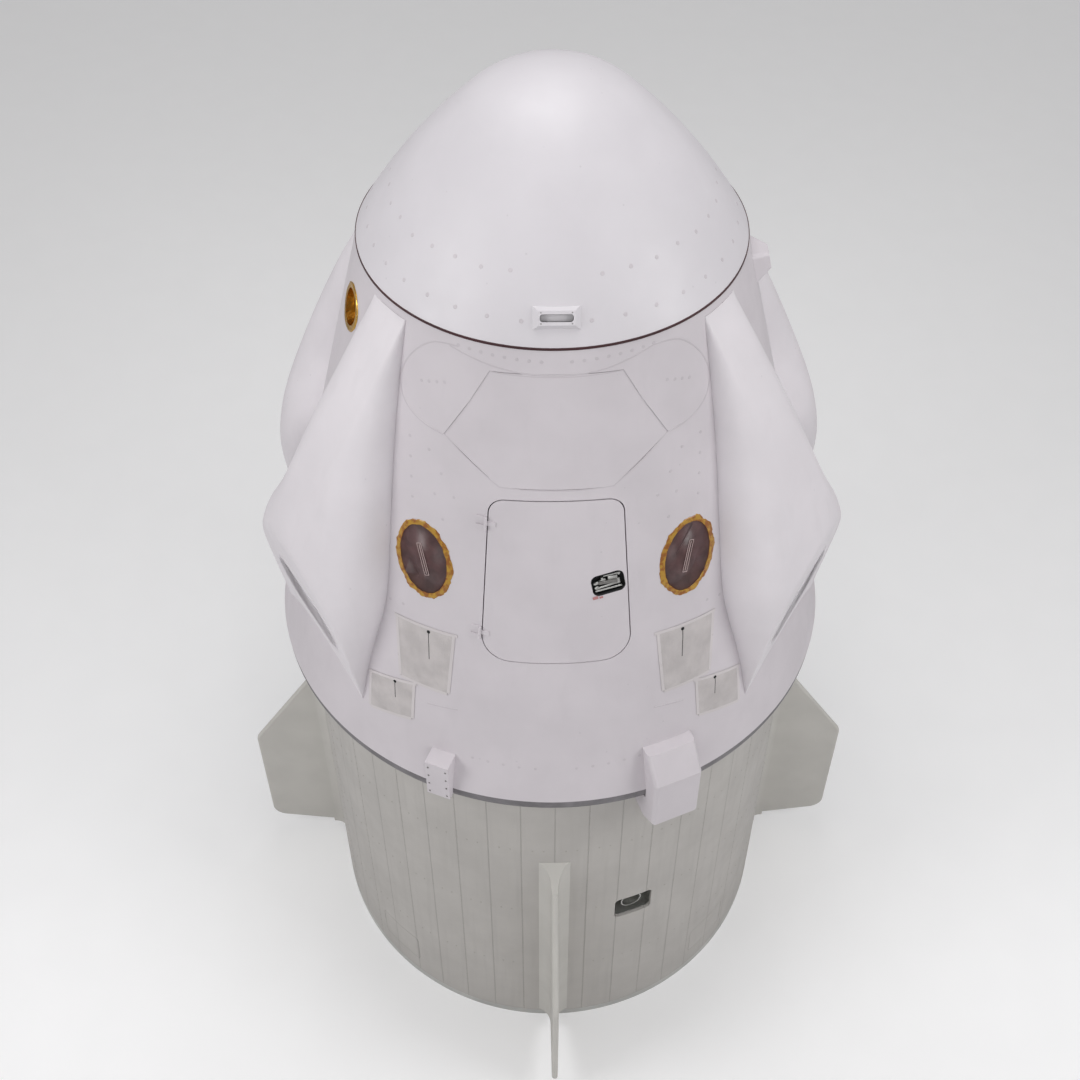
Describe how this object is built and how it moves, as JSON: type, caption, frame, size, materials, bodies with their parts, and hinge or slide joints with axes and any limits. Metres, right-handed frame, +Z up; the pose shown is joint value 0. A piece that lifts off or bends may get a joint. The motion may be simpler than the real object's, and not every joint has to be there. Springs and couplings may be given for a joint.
{
  "type": "crewed space capsule with trunk",
  "caption": "Blunt-cone crew capsule with a hinged nose cone, side hatch and thruster pods, standing on its finned cylindrical trunk.",
  "frame": {"origin": "centre of the trunk's bottom ring, on the floor", "axes": "+Z up along the vehicle's axis, the side hatch faces -Y, +X is to the right of the hatch seen from outside"},
  "size_m": [5.02, 5.02, 7.7526],
  "materials": {
    "shell_white": "satin white thermal paint over tiles",
    "pod_white": "satin white thermal paint",
    "trunk_white": "matte warm white paint over sheet metal",
    "fin_white": "matte warm white paint",
    "solar_cells": "dark blue solar cells under clear cover",
    "band_grey": "matte grey ablator edge",
    "ablator": "dark tiled ablator",
    "seal_red": "dark red seal",
    "bare_metal": "bare machined metal",
    "steel": "brushed",
    "cover_cloth": "cream coated cloth, taped",
    "window_film": "pane under a brown protective film",
    "window_tape": "yellow film tape",
    "gold_film": "gold film",
    "dark_box": "matte black",
    "seat_shell": "moulded white shell",
    "cabin_grey": "satin grey",
    "console_black": "black glass-fronted console",
    "nozzle_metal": "heat-tinted metal"
  },
  "bodies": {
    "vehicle": {"trunk_shell": "trunk_white", "trunk_foot_ring": "bare_metal", "trunk_top_ring": "bare_metal", "trunk_frames": "bare_metal", "trunk_doors": "trunk_white", "trunk_port": "bare_metal", "fin_front": "fin_white", "fin_right": "fin_white", "fin_rear": "fin_white", "fin_left": "fin_white", "solar_panels_right": "solar_cells", "solar_panels_left": "solar_cells", "base_band": "band_grey", "heat_shield": "ablator", "support_pads": "steel", "skin_front": "shell_white", "skin_right": "shell_white", "skin_rear": "shell_white", "skin_left": "shell_white", "parachute_cover": "shell_white", "window_panes": "window_film", "window_frames": "window_tape", "thruster_pod_front_right": "pod_white", "thruster_pod_front_left": "pod_white", "thruster_pod_rear_right": "pod_white", "thruster_pod_rear_left": "pod_white", "thruster_covers_front_right": "cover_cloth", "thruster_covers_front_left": "cover_cloth", "thruster_covers_rear_right": "cover_cloth", "thruster_covers_rear_left": "cover_cloth", "hatch_hinge_mounts": "steel", "forward_deck": "cabin_grey", "docking_tunnel": "bare_metal", "docking_ring": "bare_metal", "docking_petals": "steel", "docking_struts": "steel", "forward_nozzles": "nozzle_metal", "forward_hatch_clevis": "steel", "nose_seal": "seal_red", "nose_hinge_brackets": "steel", "sensor_port": "gold_film", "sensor_blister": "shell_white", "umbilical_fairing": "shell_white", "umbilical_box": "shell_white", "cabin_floor": "cabin_grey", "crew_seats": "seat_shell", "seat_frame": "steel", "control_console": "console_black"},
    "nose": {"nose_cone": "shell_white", "nose_blister": "shell_white", "nose_hinge_arms": "steel"},
    "hatch": {"side_hatch": "shell_white", "hatch_handle": "steel", "hatch_hinge_leaves": "steel"},
    "tunnel_lid": {"forward_hatch": "cabin_grey"}
  },
  "joints": [
    {"name": "nose_open", "type": "hinge", "parent": "vehicle", "child": "nose", "pos_m": [0, 1.242, 6.708], "axis": [-1, 0, 0], "range_deg": [0, 110]},
    {"name": "side_hatch_open", "type": "hinge", "parent": "vehicle", "child": "hatch", "pos_m": [-0.48829, -1.65974, 4.60573], "axis": [-0.0701, -0.2381, -0.9687], "range_deg": [0, 110]},
    {"name": "tunnel_lid_open", "type": "hinge", "parent": "vehicle", "child": "tunnel_lid", "pos_m": [0, 0.419, 6.206], "axis": [1, 0, 0], "range_deg": [0, 100]}
  ]
}
